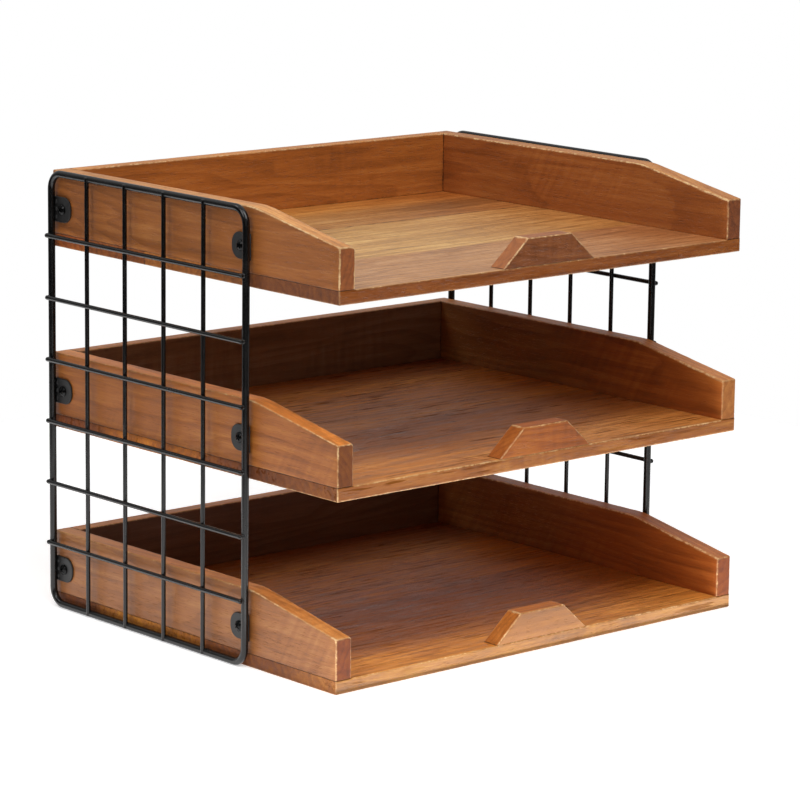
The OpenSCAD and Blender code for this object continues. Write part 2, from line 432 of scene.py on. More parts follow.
def bare_metal(name, colour, roughness):
    """Metal with fine brushing and spots of dulling, for the CAD's own screws and brads."""
    g = Graph(bpy.data.materials.new(name))
    point = g.in_mm(g.add("NewGeometry", {}).outputs["Position"])
    brushed = g.noise(point, (0.3, 0.3, 2.0), 2.0)
    dull = g.noise(point, (1.6, 1.6, 1.6), 2.0)
    shade = g.mix(g.fade(dull, 0.4, 0.7), colour, tuple(1.8 * c for c in colour))
    rough = g.total(roughness, g.around(dull, 0.25))
    shader = {"Base Color": shade, "Roughness": rough, "Metallic": 0.85}
    return g.finish(shader, brushed, 0.15, 0.05)


# ================ Meshes ================


def prism(outline, axis, start, end):
    """A closed solid: the outline lies across axis, and runs along it from start to end."""
    others = [a for a in (X, Y, Z) if a != axis]
    bm = bmesh.new()
    rings = []
    for level in (start, end):
        ring = []
        for first, second in outline:
            co = [0.0, 0.0, 0.0]
            co[axis], co[others[0]], co[others[1]] = level, first, second
            ring.append(bm.verts.new(co))
        rings.append(ring)
    bm.faces.new(rings[0])
    bm.faces.new(rings[1])
    count = len(outline)
    for i in range(count):
        j = (i + 1) % count
        bm.faces.new((rings[0][i], rings[0][j], rings[1][j], rings[1][i]))
    bmesh.ops.recalc_face_normals(bm, faces=bm.faces)
    return bm


def box_outline(low, high):
    return [(low[0], low[1]), (high[0], low[1]), (high[0], high[1]), (low[0], high[1])]


def rounded(bm, radius, weight):
    """Rounds each edge by radius times weight(its ends)."""
    layer = bm.edges.layers.float.new("bevel_weight_edge")
    for edge in bm.edges:
        edge[layer] = weight(edge.verts[0].co, edge.verts[1].co)
    mesh = bpy.data.meshes.new("blank")
    bm.to_mesh(mesh)
    bm.free()
    blank = bpy.data.objects.new("blank", mesh)
    bpy.context.scene.collection.objects.link(blank)
    bevel = blank.modifiers.new("round", "BEVEL")
    bevel.width = radius
    bevel.segments = EDGE_SEGMENTS
    bevel.limit_method = "WEIGHT"
    depsgraph = bpy.context.evaluated_depsgraph_get()
    shaped = bpy.data.meshes.new_from_object(blank.evaluated_get(depsgraph))
    result = bmesh.new()
    result.from_mesh(shaped)
    bpy.data.objects.remove(blank)
    bpy.data.meshes.remove(mesh)
    bpy.data.meshes.remove(shaped)
    return result


def rim_loops(bm, least_area, steps):
    """Adds loops just inside the outline of every large face, so that its shading stays flat."""
    large = [f for f in bm.faces if f.calc_area() > least_area]
    for step in steps:
        bmesh.ops.inset_individual(bm, faces=large, thickness=step, use_even_offset=True)


def slice_mesh(bm, axis, places):
    """Cuts the whole mesh at each place along axis."""
    normal = [0.0, 0.0, 0.0]
    normal[axis] = 1.0
    for place in places:
        point = [0.0, 0.0, 0.0]
        point[axis] = place
        geometry = bm.verts[:] + bm.edges[:] + bm.faces[:]
        bmesh.ops.bisect_plane(bm, geom=geometry, dist=1e-6, plane_co=point, plane_no=normal)


def stations(low, high, step):
    count = max(1, round((high - low) / step))
    return [low + (high - low) * i / count for i in range(1, count)]


def numbers(mesh):
    co = np.zeros(len(mesh.vertices) * 3, np.float32)
    mesh.vertices.foreach_get("co", co)
    return co.reshape(-1, 3).astype(float)


def put_number(mesh, name, values):
    layer = mesh.attributes.new(name, "FLOAT", "POINT")
    layer.data.foreach_set("value", np.asarray(values, np.float32))


def put_vector(mesh, name, values):
    layer = mesh.attributes.new(name, "FLOAT_VECTOR", "POINT")
    layer.data.foreach_set("vector", np.asarray(values, np.float32).ravel())


def new_piece(name, mesh, material, slot, *nodes):
    """Links a finished mesh as a piece that rides the body and stands for the CAD nodes."""
    piece = bpy.data.objects.new(name, mesh)
    bpy.context.scene.collection.objects.link(piece)
    mesh.materials.append(material)
    mesh.shade_smooth()
    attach(piece, BODY)
    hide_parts(*nodes)
    return piece


# ================ Boards ================


def hand_sanded(mesh, edge, seed):
    """Moves vertices inwards a little: slight hollows, and softer free edges in places."""
    shift = Vector((seed * 1.7, seed * 0.9, seed * 2.3))
    normals = np.zeros(len(mesh.vertices) * 3, np.float32)
    mesh.vertex_normals.foreach_get("vector", normals)
    co = numbers(mesh)
    dips = []
    for point, off in zip(co, edge):
        broad = noise.noise(Vector(point) * BROAD_PER_M + shift)
        tight = noise.noise(Vector(point) * TIGHT_PER_M - shift)
        soft = max(0.0, tight + 0.15) * max(0.0, 1.0 - off / EDGE_REACH)
        dips.append((HOLLOW * (1 + broad) + EDGE_DIP * soft) * MM)
    co -= normals.reshape(-1, 3) * np.array(dips)[:, None]
    mesh.vertices.foreach_set("co", co.astype(np.float32).ravel())
    mesh.update()


def second_least(distances):
    """A surface point's distance to its nearest edge: the second of its distances to the faces."""
    return np.sort(np.stack(distances), axis=0)[1]


def painted(base, co, *patches):
    """A tone for each vertex: base, times the factor of each patch that the vertex is in."""
    tones = np.tile(np.array(base, float), (len(co), 1))
    for inside, factor in patches:
        tones[inside] *= factor
    return tones


def finish_board(bm, node, material, slot, along, tone_of, worn, edge_of, seam_of):
    """Turns a shaped board into a piece with the measures that its material reads."""
    name = f"{node}_board"
    mesh = bpy.data.meshes.new(name)
    bm.to_mesh(mesh)
    bm.free()
    co = numbers(mesh)
    edge = edge_of(co) / MM
    seam = seam_of(co) / MM
    chance = random.Random(name)
    hand_sanded(mesh, edge, chance.uniform(1, 40))
    order = {X: (0, 1, 2), Y: (1, 2, 0)}[along]
    shift = np.array([chance.uniform(0, 2), chance.uniform(-0.03, 0.05), chance.uniform(0.03, 0.07)])
    centre = (co.max(0) + co.min(0)) / 2
    put_vector(mesh, "grain", (co - centre)[:, order] + shift)
    put_vector(mesh, "place", co / MM)
    put_vector(mesh, "tone", tone_of(co))
    put_number(mesh, "edge", np.clip(edge, 0, FAR / MM))
    put_number(mesh, "seam", np.clip(seam, 0, FAR / MM))
    put_number(mesh, "worn", worn(co))
    put_number(mesh, "depth", (co[:, Y] - co[:, Y].min()) / MM)
    return new_piece(name, mesh, material, slot, node)


# Side walls are lofted along Y from cross-sections, so that every corner can have its own radius.
WALL_EDGE_R = 0.85 * MM
WALL_FOOT_R = 0.12 * MM
WALL_FRONT_R = 1.1 * MM
WALL_BACK_R = 0.6 * MM
WALL_FOOT_SHARE = 0.1
LEAST_BEND = 0.05 * MM
ARC_STEPS = 3
ARC_CORNERS = ((1, -1, -90), (1, 1, 0), (-1, 1, 90), (-1, -1, 180))
CLOSE_POINTS = ((0.4 * MM, 0.1), (1.3 * MM, 0.2), (2.9 * MM, 0.35))

# Along a side wall: how far back the nose's rounding holds, where painted shade starts on the inner
# face deep in the tray and over what length it fades in, how far the wear reaches behind the slope, and
# about the knee and the nose.
NOSE_ROUND_TO = 0.3 * SLOPE_RUN
DEEP_SHADE_FROM = 90 * MM
DEEP_SHADE_FADE = 70 * MM
WEAR_FADE = 60 * MM
WORN_KNEE = 1.03 * SLOPE_RUN
KNEE_WEAR = 6 * MM
NOSE_WEAR = 3 * MM


def wall_section(low, high, radii, inset):
    """The (x, z) points round a cross-section, with more of them close to its corners."""
    left, right = low[0] + inset, high[0] - inset
    bottom, top = low[1] + WALL_FOOT_SHARE * inset, high[1] - inset
    arcs = []
    for (side, level, start), radius in zip(ARC_CORNERS, radii):
        bend = max(radius - inset, LEAST_BEND)
        x = right - bend if side > 0 else left + bend
        z = top - bend if level > 0 else bottom + bend
        turns = [math.radians(start + 90 * k / ARC_STEPS) for k in range(ARC_STEPS + 1)]
        arcs.append([(x + bend * math.cos(t), z + bend * math.sin(t)) for t in turns])
    points = []
    for arc, following in zip(arcs, arcs[1:] + arcs[:1]):
        points += arc
        start, end = np.array(arc[-1]), np.array(following[0])
        length = np.linalg.norm(end - start)
        shares = [min(near / length, share) for near, share in CLOSE_POINTS]
        shares += [1 - share for share in reversed(shares)]
        points += [tuple(start + (end - start) * share) for share in shares]
    return points


def end_rows(place, inward, radius):
    """The (y, inset) of the sections over a rounded end, from the middle of its face inwards."""
    rows = [(place, radius + near) for near, _ in reversed(CLOSE_POINTS)]
    for k in range(ARC_STEPS, -1, -1):
        turn = math.radians(90 * k / ARC_STEPS)
        rows.append((place + inward * radius * (1 - math.sin(turn)), radius * (1 - math.cos(turn))))
    return rows


def lofted(sections):
    """A closed solid through sections across Y, each (y, its (x, z) points)."""
    bm = bmesh.new()
    rings = [[bm.verts.new((x, y, z)) for x, z in points] for y, points in sections]
    for ring, following in zip(rings, rings[1:]):
        bridge(bm, ring, following)
    bm.faces.new(rings[0])
    bm.faces.new(rings[-1])
    bmesh.ops.recalc_face_normals(bm, faces=bm.faces)
    return bm


def wall_knees(low, high):
    """The (y, z) points of a wall's top, from the back: level, eased over the knee, then sloped."""
    slope = math.atan2(high.z - low.z - NOSE_H, SLOPE_RUN)
    knee_y = low.y + SLOPE_RUN + KNEE_R * math.tan(slope / 2)
    knee_z = high.z - KNEE_R
    points = [(high.y, high.z)]
    for k in range(KNEE_STEPS + 1):
        turn = slope * k / KNEE_STEPS
        points.append((knee_y - KNEE_R * math.sin(turn), knee_z + KNEE_R * math.cos(turn)))
    points.append((low.y, low.z + NOSE_H))
    return points


def make_side_wall(tier, side, material, tone, top_factor, end_factor, deep_shade_tint, nose_r, wear):
    node = f"{tier}_{side}_wall"
    low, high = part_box(node)
    inner = low.x if side == "right" else high.x
    corner_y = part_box(f"{tier}_back_wall")[0].y
    knees = wall_knees(low, high)[::-1]

    def top(y):
        return np.interp(y, [p[0] for p in knees], [p[1] for p in knees])

    def inner_radius(y):
        share = np.interp(y, (low.y + NOSE_ROUND_TO, low.y + SLOPE_RUN), (1, 0))
        return WALL_EDGE_R + (nose_r - WALL_EDGE_R) * share

    def section_at(y, inset):
        upper = (inner_radius(y), WALL_EDGE_R) if side == "left" else (WALL_EDGE_R, inner_radius(y))
        radii = (WALL_FOOT_R, *upper, WALL_FOOT_R)
        return wall_section((low.x, low.z), (high.x, top(y)), radii, inset)

    middle = stations(low.y + WALL_FRONT_R, high.y - WALL_BACK_R, SIDE_WALL_STEP)
    middle += [corner_y + near for near in BY_JOINT]
    middle += [p[0] for p in knees[1:-1]]
    rows = end_rows(low.y, 1, WALL_FRONT_R)
    rows += [(y, 0) for y in sorted(middle)]
    rows += end_rows(high.y, -1, WALL_BACK_R)[::-1]
    bm = lofted([(y, section_at(y, inset)) for y, inset in rows])

    def edge_of(co):
        inner_off = np.abs(co[:, X] - inner)
        outer_off = high.x - low.x - inner_off
        y_off = np.minimum(co[:, Y] - low.y, high.y - co[:, Y])
        z_off = top(co[:, Y]) - co[:, Z]
        radius = inner_radius(co[:, Y])
        rounding = (inner_off < radius) & (z_off < radius)
        skin = np.maximum(0, radius - np.hypot(radius - inner_off, radius - z_off))
        ridge = np.where(skin < ON_FACE, 0.35 * np.abs(inner_off - z_off), FAR)
        inner_off = np.where(rounding, ridge, inner_off)
        z_off = np.where(rounding, skin, z_off)
        return second_least([np.minimum(inner_off, outer_off), y_off, z_off])

    def tone_of(co):
        upper = top(co[:, Y]) - co[:, Z] < ON_FACE
        end = co[:, Y] - low.y < ON_FACE
        tones = painted(tone, co, (upper, top_factor), (end & ~upper, end_factor))
        inside = np.abs(co[:, X] - inner) < ON_FACE
        # Painted shade: deep in the tray the inner face is tinted less red and greyer, as shade looks.
        deep = inside * np.clip((co[:, Y] - low.y - DEEP_SHADE_FROM) / DEEP_SHADE_FADE, 0, 1)
        return tones * (1 + deep[:, None] * (np.array(deep_shade_tint) - 1))

    def seam_of(co):
        inside = np.abs(co[:, X] - inner) < ON_FACE
        foot = np.where(inside, FAR, co[:, Z] - low.z + TIGHTER_SIDE_FOOT)
        corner = np.where(inside, np.abs(co[:, Y] - corner_y), FAR)
        at_back = co[:, Y] > high.y - ON_FACE
        rear = np.where(at_back, np.abs(co[:, X] - inner), FAR)
        return np.minimum(np.minimum(foot, corner), rear)

    def worn(co):
        front = 1 - np.clip((co[:, Y] - low.y - SLOPE_RUN) / WEAR_FADE, 0, 1)
        at_knee = np.exp(-(((co[:, Y] - low.y - WORN_KNEE) / KNEE_WEAR) ** 2))
        at_nose = np.exp(-(((co[:, Y] - low.y) / NOSE_WEAR) ** 2))
        return (0.4 + 0.6 * front + 0.6 * at_knee + 0.5 * at_nose) * wear

    return finish_board(bm, node, material, "tray_wall", Y, tone_of, worn, edge_of, seam_of)


def make_back_wall(tier, material, tone, top_factor, inner_shade_factor):
    node = f"{tier}_back_wall"
    low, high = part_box(node)

    def weight(a, b):
        level = abs(a.z - b.z) < MM and abs(a.y - b.y) < MM
        return FREE_EDGE if level and a.z > high.z - MM else JOINT_EDGE

    bm = rounded(prism(box_outline((low.x, low.z), (high.x, high.z)), Y, low.y, high.y), ROUND, weight)
    rim_loops(bm, *BACK_WALL_LOOPS)
    slice_mesh(bm, X, stations(low.x, high.x, BACK_WALL_STEP))

    def edge_of(co):
        y_off = np.minimum(co[:, Y] - low.y, high.y - co[:, Y])
        return np.maximum(y_off, high.z - co[:, Z])

    def seam_of(co):
        ends = np.minimum(co[:, X] - low.x, high.x - co[:, X])
        return np.minimum(ends, co[:, Z] - low.z + TIGHTER_BACK_FOOT)

    def tone_of(co):
        upper = high.z - co[:, Z] < ON_FACE
        # Painted shade on the inner face, for the tiers that lie under another tray.
        inside = co[:, Y] - low.y < ON_FACE
        return painted(tone, co, (upper, top_factor), (inside & ~upper, inner_shade_factor))

    def worn(co):
        return np.full(len(co), BACK_WALL_WEAR)

    return finish_board(bm, node, material, "tray_wall", X, tone_of, worn, edge_of, seam_of)


# The ends of a base are this much lighter behind the wires, from where and over what length.
END_LIGHTER = 0.6
END_LIGHTER_FROM = 70 * MM
END_LIGHTER_FADE = 60 * MM

# A base's floor takes painted shade towards the right: it is full this far to the right, and fades in
# over this depth, in mm.
RIGHT_SHADE_FULL_AT = 140
RIGHT_SHADE_DEPTH_FADE = 40

# The strip behind a base's front edge that wears most, and the wear of the plainer boards.
WORN_STRIP = 4 * MM
BACK_WALL_WEAR = 0.5
STOP_WEAR = 0.55


def make_base(tier, material, tone, front_shade_factor, end_factor, right_shade_from, right_shade_factor, wear):
    node = f"{tier}_base"
    low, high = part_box(node)
    inner_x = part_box(f"{tier}_right_wall")[0].x
    back_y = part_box(f"{tier}_back_wall")[0].y
    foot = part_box(f"{tier}_front_stop")

    def weight(a, b):
        side_top = min(a.z, b.z) > high.z - MM and abs(a.x) > high.x - MM and abs(a.x - b.x) < MM
        back_top = min(a.z, b.z) > high.z - MM and min(a.y, b.y) > high.y - MM
        return JOINT_EDGE if side_top or back_top else BASE_EDGE

    bm = rounded(prism(box_outline((low.x, low.z), (high.x, high.z)), Y, low.y, high.y), ROUND, weight)
    rim_loops(bm, *BASE_LOOPS)
    x_lines = [s * (inner_x + near) for s in (-1, 1) for near in BY_JOINT]
    x_lines += [s * (foot[1].x + near) for s in (-1, 1) for near in BY_JOINT]
    y_lines = [back_y + near for near in BY_JOINT] + [foot[1].y + near for near in BY_JOINT]
    slice_mesh(bm, X, stations(low.x, high.x, BASE_STEP) + x_lines)
    slice_mesh(bm, Y, stations(low.y, high.y, BASE_STEP) + y_lines)

    def under_walls(co):
        return (np.abs(co[:, X]) > inner_x - TOUCHING) | (co[:, Y] > back_y - TOUCHING)

    def covered(co):
        stop = (np.abs(co[:, X]) < foot[1].x + TOUCHING) & (co[:, Y] < foot[1].y + TOUCHING)
        return under_walls(co) | stop

    def edge_of(co):
        x_off = np.minimum(co[:, X] - low.x, high.x - co[:, X])
        y_off = np.minimum(co[:, Y] - low.y, high.y - co[:, Y])
        up = np.where(under_walls(co), FAR, high.z - co[:, Z])
        z_off = np.minimum(co[:, Z] - low.z, up)
        on_top = high.z - co[:, Z] < TOUCHING
        z_off = np.where(on_top, 0.0, z_off)
        foot_off = np.minimum(inner_x - np.abs(co[:, X]), back_y - co[:, Y])
        by_wall = np.where(on_top & ~covered(co), np.abs(foot_off) + JOINT_LINE, FAR)
        return np.minimum(second_least([x_off, y_off, z_off]), by_wall)

    def tone_of(co):
        front = co[:, Y] - low.y < ON_FACE
        end = high.x - np.abs(co[:, X]) < ON_FACE
        # Painted shade on the front face, the most on the upper tier.
        tones = painted(tone, co, (front, front_shade_factor), (end, end_factor))
        # Painted shade towards the right of the floor: along the right wall on the middle and lower
        # bases. On the upper base it takes back, on the right, the painted sheen of the paler left.
        from_x, from_depth = right_shade_from
        across = np.clip((co[:, X] / MM - from_x) / (RIGHT_SHADE_FULL_AT - from_x), 0, 1)
        inwards = np.clip(((co[:, Y] - low.y) / MM - from_depth) / RIGHT_SHADE_DEPTH_FADE, 0, 1)
        share = (across * inwards)[:, None]
        on_floor = ~(front | end)[:, None]
        tones *= np.where(on_floor, 1 + share * (np.array(right_shade_factor) - 1), 1.0)
        behind = (co[:, Y] - low.y - END_LIGHTER_FROM) / END_LIGHTER_FADE
        lighter = 1 + END_LIGHTER * np.clip(behind, 0, 1)
        return tones * np.where(end & ~front, lighter, 1.0)[:, None]

    def seam_of(co):
        dx = np.abs(co[:, X]) - foot[1].x
        dy = co[:, Y] - foot[1].y
        beside = np.where(dy < 0, np.abs(dx), FAR)
        behind = np.where(dx < 0, np.abs(dy), FAR)
        on_top = high.z - co[:, Z] < ON_TOP
        flat = np.minimum(beside, behind)
        upright = np.where(under_walls(co), high.z - co[:, Z], FAR)
        return np.where(on_top, flat, upright)

    def worn(co):
        return wear * (0.5 + 0.5 * (co[:, Y] < low.y + WORN_STRIP))

    return finish_board(bm, node, material, "tray_base", X, tone_of, worn, edge_of, seam_of)


def make_stop(tier, material, tone, face_shade_factor):
    node = f"{tier}_front_stop"
    low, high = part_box(node)
    half_top = STOP_TOP_W / 2
    outline = [(low.x, low.z), (high.x, low.z), (half_top, high.z), (-half_top, high.z)]

    def weight(a, b):
        return JOINT_EDGE if max(a.z, b.z) < low.z + MM else FREE_EDGE

    bm = rounded(prism(outline, Y, low.y, high.y), ROUND, weight)
    rim_loops(bm, *STOP_LOOPS)
    slice_mesh(bm, X, stations(low.x, high.x, STOP_STEP))
    lean = (high.x - half_top) / (high.z - low.z)
    spread = math.hypot(1, lean)

    def edge_of(co):
        y_off = np.minimum(co[:, Y] - low.y, high.y - co[:, Y])
        side = (high.x - lean * (co[:, Z] - low.z) - np.abs(co[:, X])) / spread
        return second_least([y_off, side, high.z - co[:, Z]])

    def seam_of(co):
        return np.where(co[:, Y] - low.y < ON_FACE, FAR, co[:, Z] - low.z)

    def tone_of(co):
        # Painted shade on the front face.
        return painted(tone, co, (co[:, Y] - low.y < ON_FACE, face_shade_factor))

    def worn(co):
        return np.full(len(co), STOP_WEAR)

    return finish_board(bm, node, material, "front_stop", X, tone_of, worn, edge_of, seam_of)


# ================ Wire ================

TUBE_SIDES = 20
BEND_STEPS = 10
CORNER_STEPS = 8
ROD_STEP = 6 * MM
RIM_STEP = 8 * MM

# Half sizes of the weld beads, across the frame, along it and up, and how far a tab's bead lies
# within the rod that it joins.
RAIL_WELD = (0.9 * MM, 1.7 * MM, 1.5 * MM)
CROSSING_WELD = (0.8 * MM, 1.55 * MM, 1.55 * MM)
POST_WELD = (0.9 * MM, 1.9 * MM, 1.7 * MM)
TAB_WELD = (0.8 * MM, 0.9 * MM, 1.5 * MM)
TAB_WELD_IN = 0.1 * MM

# A rod's domed end, with a swell behind it: each (distance from the tip, radius) in rod radii,
# and where the even part starts.
DOME_LENGTH = 2.5
DOME = ((0.0, 0.42), (0.06, 0.68), (0.2, 0.88), (0.45, 1.0), (0.8, 1.06), (1.3, 1.06), (1.9, 1.0))


def ring_of(bm, centre, first, second, radius):
    ring = []
    for k in range(TUBE_SIDES):
        turn = 2 * math.pi * k / TUBE_SIDES
        ring.append(bm.verts.new(centre + radius * (math.cos(turn) * first + math.sin(turn) * second)))
    return ring


def bridge(bm, ring, following):
    for k in range(len(ring)):
        j = (k + 1) % len(ring)
        bm.faces.new((ring[k], ring[j], following[j], following[k]))


def straight_rod(bm, start, end, radius):
    """A rod with domed ends, which reaches from start to end."""
    line = (end - start).normalized()
    first = line.orthogonal().normalized()
    second = line.cross(first)
    length = (end - start).length
    sections = [(place * radius, size) for place, size in DOME]
    for middle in stations(DOME_LENGTH * radius, length - DOME_LENGTH * radius, ROD_STEP):
        sections.append((middle, 1.0))
    sections += [(length - place * radius, size) for place, size in reversed(DOME)]
    rings = [ring_of(bm, start + line * at, first, second, radius * size) for at, size in sections]
    for ring, following in zip(rings, rings[1:]):
        bridge(bm, ring, following)
    bm.faces.new(list(reversed(rings[0])))
    bm.faces.new(rings[-1])


def weld(bm, centre, size):
    """A small bead of fused metal, a squashed ball."""
    place = Matrix.Translation(centre) @ Matrix.Diagonal((*size, 1.0))
    bmesh.ops.create_icosphere(bm, subdivisions=2, radius=1.0, matrix=place)


def wire_piece(name, bm, node, material):
    bmesh.ops.recalc_face_normals(bm, faces=bm.faces)
    mesh = bpy.data.meshes.new(name)
    bm.to_mesh(mesh)
    bm.free()
    put_vector(mesh, "place", numbers(mesh) / MM)
    return new_piece(name, mesh, material, "frame_black", node)


def bend_points(centre, start_turn):
    """The points of one quarter turn of the rim."""
    points = []
    for k in range(BEND_STEPS + 1):
        turn = math.radians(start_turn + 90 * k / BEND_STEPS)
        points.append(centre + RIM_BEND_R * Vector((0, math.cos(turn), math.sin(turn))))
    return points


def make_rim(side, material):
    """One bent rod: a rounded rectangle in the side frame's plane."""
    node = f"{side}_rim"
    low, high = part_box(node)
    x = (low.x + high.x) / 2
    inset = RIM_R + RIM_BEND_R
    front, back = low.y + inset, high.y - inset
    bottom, top = low.z + inset, high.z - inset
    corners = [(back, top, 0), (front, top, 90), (front, bottom, 180), (back, bottom, 270)]
    path = []
    for y, z, turn in corners:
        path += bend_points(Vector((x, y, z)), turn)
    points = []
    for start, end in zip(path, path[1:] + path[:1]):
        pieces = max(1, round((end - start).length / RIM_STEP))
        points += [start.lerp(end, k / pieces) for k in range(pieces)]
    bm = bmesh.new()
    across = Vector((1, 0, 0))
    rings = []
    count = len(points)
    for i, point in enumerate(points):
        line = (points[(i + 1) % count] - points[i - 1]).normalized()
        rings.append(ring_of(bm, point, across, line.cross(across), RIM_R))
    for ring, following in zip(rings, rings[1:] + rings[:1]):
        bridge(bm, ring, following)
    return wire_piece(f"{node}_rod", bm, node, material)


def make_upright(side, number, material):
    node = f"{side}_upright_{number}"
    low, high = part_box(node)
    x, y = (low.x + high.x) / 2, (low.y + high.y) / 2
    rim_low, rim_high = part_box(f"{side}_rim")
    rim_x = (rim_low.x + rim_high.x) / 2
    bm = bmesh.new()
    straight_rod(bm, Vector((x, y, low.z)), Vector((x, y, high.z)), WIRE_R)
    touch_x = (x + rim_x) / 2 + 0.2 * (x - rim_x)
    for z in (rim_low.z + RIM_R, rim_high.z - RIM_R):
        weld(bm, Vector((touch_x, y, z)), RAIL_WELD)
    return wire_piece(f"{node}_rod", bm, node, material)


def make_cross_wire(side, number, material):
    node = f"{side}_cross_wire_{number}"
    low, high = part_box(node)
    x, z = (low.x + high.x) / 2, (low.z + high.z) / 2
    bm = bmesh.new()
    straight_rod(bm, Vector((x, low.y, z)), Vector((x, high.y, z)), WIRE_R)
    for crossed in UPRIGHTS:
        upright_low, upright_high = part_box(f"{side}_upright_{crossed}")
        upright = (upright_low + upright_high) / 2
        weld(bm, Vector(((x + upright.x) / 2, upright.y, z)), CROSSING_WELD)
    rim_low, rim_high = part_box(f"{side}_rim")
    rim_x = (rim_low.x + rim_high.x) / 2
    touch_x = rim_x + (x - rim_x) * RIM_R / (RIM_R + WIRE_R)
    for y in (rim_low.y + RIM_R, rim_high.y - RIM_R):
        weld(bm, Vector((touch_x, y, z)), POST_WELD)
    return wire_piece(f"{node}_rod", bm, node, material)


def make_tab(side, tier, end, material):
    """A flat plate welded behind the rod, with its two free corners rounded."""
    node = f"{side}_{tier}_{end}_tab"
    low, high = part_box(node)
    middle = (low.z + high.z) / 2
    radius = (high.z - low.z) / 2
    outer = low.y if end == "front" else high.y
    inner = high.y if end == "front" else low.y
    inward = 1 if end == "front" else -1
    outline = [(outer, low.z)]
    for start, z in ((-90, low.z + TAB_CORNER_R), (0, high.z - TAB_CORNER_R)):
        for k in range(CORNER_STEPS + 1):
            turn = math.radians(start + 90 * k / CORNER_STEPS)
            y = inner + inward * TAB_CORNER_R * (math.cos(turn) - 1)
            outline.append((y, z + TAB_CORNER_R * math.sin(turn)))
    outline.append((outer, high.z))

    def weight(a, b):
        return 1.0 if abs(a.x - b.x) < 0.1 * MM else 0.0

    bm = rounded(prism(outline, X, low.x, high.x), TAB_EDGE_R, weight)
    rim_loops(bm, *TAB_LOOPS)
    outer_x = low.x if side == "left" else high.x
    for z in (middle - 0.6 * radius, middle, middle + 0.6 * radius):
        place = Vector((outer_x, outer + inward * (TAB_START + RIM_R - TAB_WELD_IN), z))
        weld(bm, place, TAB_WELD)
    return wire_piece(f"{node}_plate", bm, node, material)


# ================ Stage ================

CAMERA_PLACE = (-1.5108, -1.7168, 0.5920)
CAMERA_TURN = 41.418
CAMERA_DIP = 11.341
CAMERA_ROLL = 0.714
CAMERA_LENS = 166.29


def make_camera():
    data = bpy.data.cameras.new("camera")
    data.sensor_width = 36
    data.lens = CAMERA_LENS
    data.clip_start, data.clip_end = 0.1, 20
    camera = bpy.data.objects.new("camera", data)
    bpy.context.scene.collection.objects.link(camera)
    turn = Matrix.Rotation(math.radians(-CAMERA_TURN), 4, "Z")
    dip = Matrix.Rotation(math.radians(90 - CAMERA_DIP), 4, "X")
    roll = Matrix.Rotation(math.radians(CAMERA_ROLL), 4, "Z")
    camera.matrix_world = Matrix.Translation(CAMERA_PLACE) @ turn @ dip @ roll
    bpy.context.scene.camera = camera


WHITE = (1, 1, 1, 1)
FLOOR_HALF = 0.62
FLOOR_GLOW = 0.42


def make_floor():
    mesh = bpy.data.meshes.new("floor")
    low, high = (-FLOOR_HALF, -FLOOR_HALF), (FLOOR_HALF, FLOOR_HALF)
    corners = [(x, y, 0) for x, y in box_outline(low, high)]
    mesh.from_pydata(corners, [], [(0, 1, 2, 3)])
    floor = bpy.data.objects.new("floor", mesh)
    bpy.context.scene.collection.objects.link(floor)
    g = Graph(bpy.data.materials.new("pale_floor"))
    shader = g.add("BsdfPrincipled", {
        "Base Color": (0.93, 0.93, 0.93, 1), "Roughness": 0.8,
        "Emission Color": WHITE, "Emission Strength": FLOOR_GLOW,
    })
    g.add("OutputMaterial", {"Surface": shader.outputs["BSDF"]})
    mesh.materials.append(g.owner)
    floor.visible_shadow = False


def make_light(name, place, target, size, power):
    data = bpy.data.lights.new(name, "AREA")
    data.shape = "RECTANGLE"
    data.size, data.size_y = size
    data.energy = power
    light = bpy.data.objects.new(name, data)
    bpy.context.scene.collection.objects.link(light)
    light.location = place
    aim = Vector(target) - Vector(place)
    light.rotation_mode = "QUATERNION"
    light.rotation_quaternion = aim.to_track_quat("-Z", "Y")
    light.visible_camera = False


# The backdrop lies this way, and its light fades in between two cosines of the angle off it.
BACKDROP_WAY = (0.62, 0.74, 0.25)
BACKDROP_FADE = (0.05, 0.6)
BACKDROP_LIGHT = 0.56


def make_world():
    """White all round to the camera; as a light, only a bright backdrop behind the object."""
    world = bpy.data.worlds.new("studio")
    g = Graph(world)
    way = g.add("TexCoord", {}).outputs["Generated"]
    along = g.add("VectorMath", {0: way, 1: BACKDROP_WAY}, operation="DOT_PRODUCT").outputs["Value"]
    start, end = BACKDROP_FADE
    fade = {"Value": along, "From Min": start, "From Max": end, "To Max": BACKDROP_LIGHT}
    level = g.add("MapRange", fade, interpolation_type="SMOOTHSTEP").outputs["Result"]
    lit = g.add("Background", {"Color": WHITE, "Strength": level}).outputs[0]
    seen = g.add("Background", {"Color": WHITE}).outputs[0]
    camera_ray = g.add("LightPath", {}).outputs["Is Camera Ray"]
    shown = g.add("MixShader", {0: camera_ray, 1: lit, 2: seen}).outputs[0]
    g.add("OutputWorld", {"Surface": shown})
    bpy.context.scene.world = world


